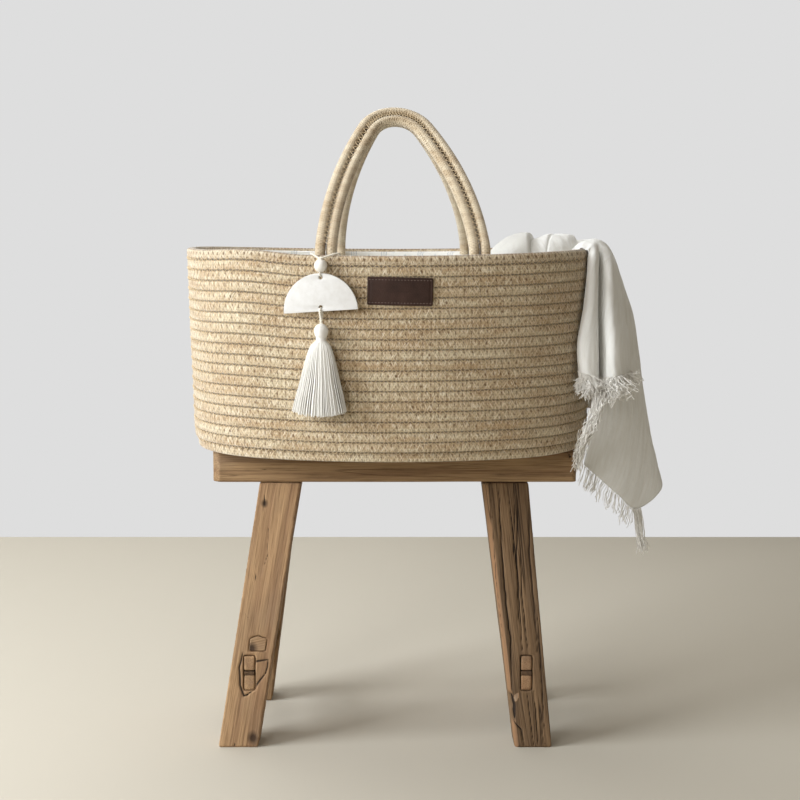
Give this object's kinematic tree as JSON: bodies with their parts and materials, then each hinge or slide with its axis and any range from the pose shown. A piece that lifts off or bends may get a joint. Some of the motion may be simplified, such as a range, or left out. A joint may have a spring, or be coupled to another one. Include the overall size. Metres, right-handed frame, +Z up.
{
  "type": "bassinet on stand",
  "caption": "Small oval coiled-rope bassinet basket with arched rope handles, liner, hanging charm and fringed throw, standing on a wooden stool.",
  "frame": {"origin": "on the floor, under the middle of the stool's seat", "axes": "+X to the right along the seat, +Y to the rear, +Z up; the charm and label face -Y"},
  "size_m": [0.5095, 0.2975, 0.659],
  "materials": {
    "seat_wood": "weathered, matte",
    "leg_pale_wood": "weathered, matte",
    "leg_dark_wood": "weathered, cracked",
    "leg_rear_wood": "weathered, matte",
    "stretcher_wood": "weathered, matte",
    "patch_wood": "planed, matte",
    "wedge_wood": "matte",
    "rope": "coiled twisted rope, stitched",
    "rim_rope": "twisted rope, stitched",
    "handle_rope": "twisted rope, stitched",
    "liner_cloth": "plain weave, small print",
    "pad_cloth": "plain weave",
    "foam": "open foam",
    "label_leather": "grained, matte",
    "hanging_cord": "twisted cotton",
    "bead_wood": "painted white, satin",
    "plate_white": "matte",
    "tassel_thread": "fine threads",
    "throw_gauze": "open gauze, fringed"
  },
  "bodies": {
    "stool": {"seat_plank": "seat_wood", "leg_front_left": "leg_pale_wood", "leg_front_right": "leg_dark_wood", "leg_rear_left": "leg_rear_wood", "leg_rear_right": "leg_rear_wood", "leg_patch": "patch_wood", "stretcher_left": "stretcher_wood", "stretcher_right": "stretcher_wood", "stretcher_wedges": "wedge_wood", "seat_wedges": "wedge_wood"},
    "basket": {"rope_base": "rope", "rope_wall": "rope", "rim_row": "rim_rope", "liner": "liner_cloth", "mattress_cover": "pad_cloth", "mattress_foam": "foam", "front_handle_tails": "handle_rope", "rear_handle_tails": "handle_rope", "leather_label": "label_leather", "charm_loop": "hanging_cord"},
    "front_handle": {"front_handle_outer": "handle_rope", "front_handle_inner": "handle_rope"},
    "rear_handle": {"rear_handle_outer": "handle_rope", "rear_handle_inner": "handle_rope"},
    "charm_hanger": {"charm_cord": "hanging_cord", "charm_bead": "bead_wood"},
    "charm_plate": {"charm_plate": "plate_white"},
    "tassel": {"tassel_cord": "tassel_thread", "tassel_head": "tassel_thread", "tassel_binding": "tassel_thread", "tassel_skirt": "tassel_thread"},
    "throw": {"throw_folds": "throw_gauze", "throw_front_panel": "throw_gauze", "throw_back_panel": "throw_gauze", "throw_fringe": "throw_gauze"}
  },
  "joints": [
    {"name": "basket_lift", "type": "slide", "parent": "stool", "child": "basket", "axis": [0, 0, 1], "range_m": [0, 0.3]},
    {"name": "front_handle_fold", "type": "hinge", "parent": "basket", "child": "front_handle", "pos_m": [0.0085, -0.13307, 0.517], "axis": [0.9993, 0.0361, 0], "range_deg": [0, 126]},
    {"name": "rear_handle_fold", "type": "hinge", "parent": "basket", "child": "rear_handle", "pos_m": [0.0085, 0.09307, 0.517], "axis": [-0.9993, 0.0361, 0], "range_deg": [0, 126]},
    {"name": "charm_lift", "type": "hinge", "parent": "basket", "child": "charm_hanger", "pos_m": [-0.06937, -0.16215, 0.509], "axis": [-0.9852, 0.1715, 0], "range_deg": [0, 75]},
    {"name": "plate_sway", "type": "hinge", "parent": "charm_hanger", "child": "charm_plate", "pos_m": [-0.06937, -0.16215, 0.491], "axis": [-0.1715, -0.9852, 0], "range_deg": [-25, 25]},
    {"name": "tassel_sway", "type": "hinge", "parent": "charm_plate", "child": "tassel", "pos_m": [-0.06937, -0.16215, 0.4626], "axis": [-0.1715, -0.9852, 0], "range_deg": [-30, 30]},
    {"name": "throw_lift", "type": "slide", "parent": "basket", "child": "throw", "axis": [0, 0, 1], "range_m": [0, 0.25]}
  ]
}
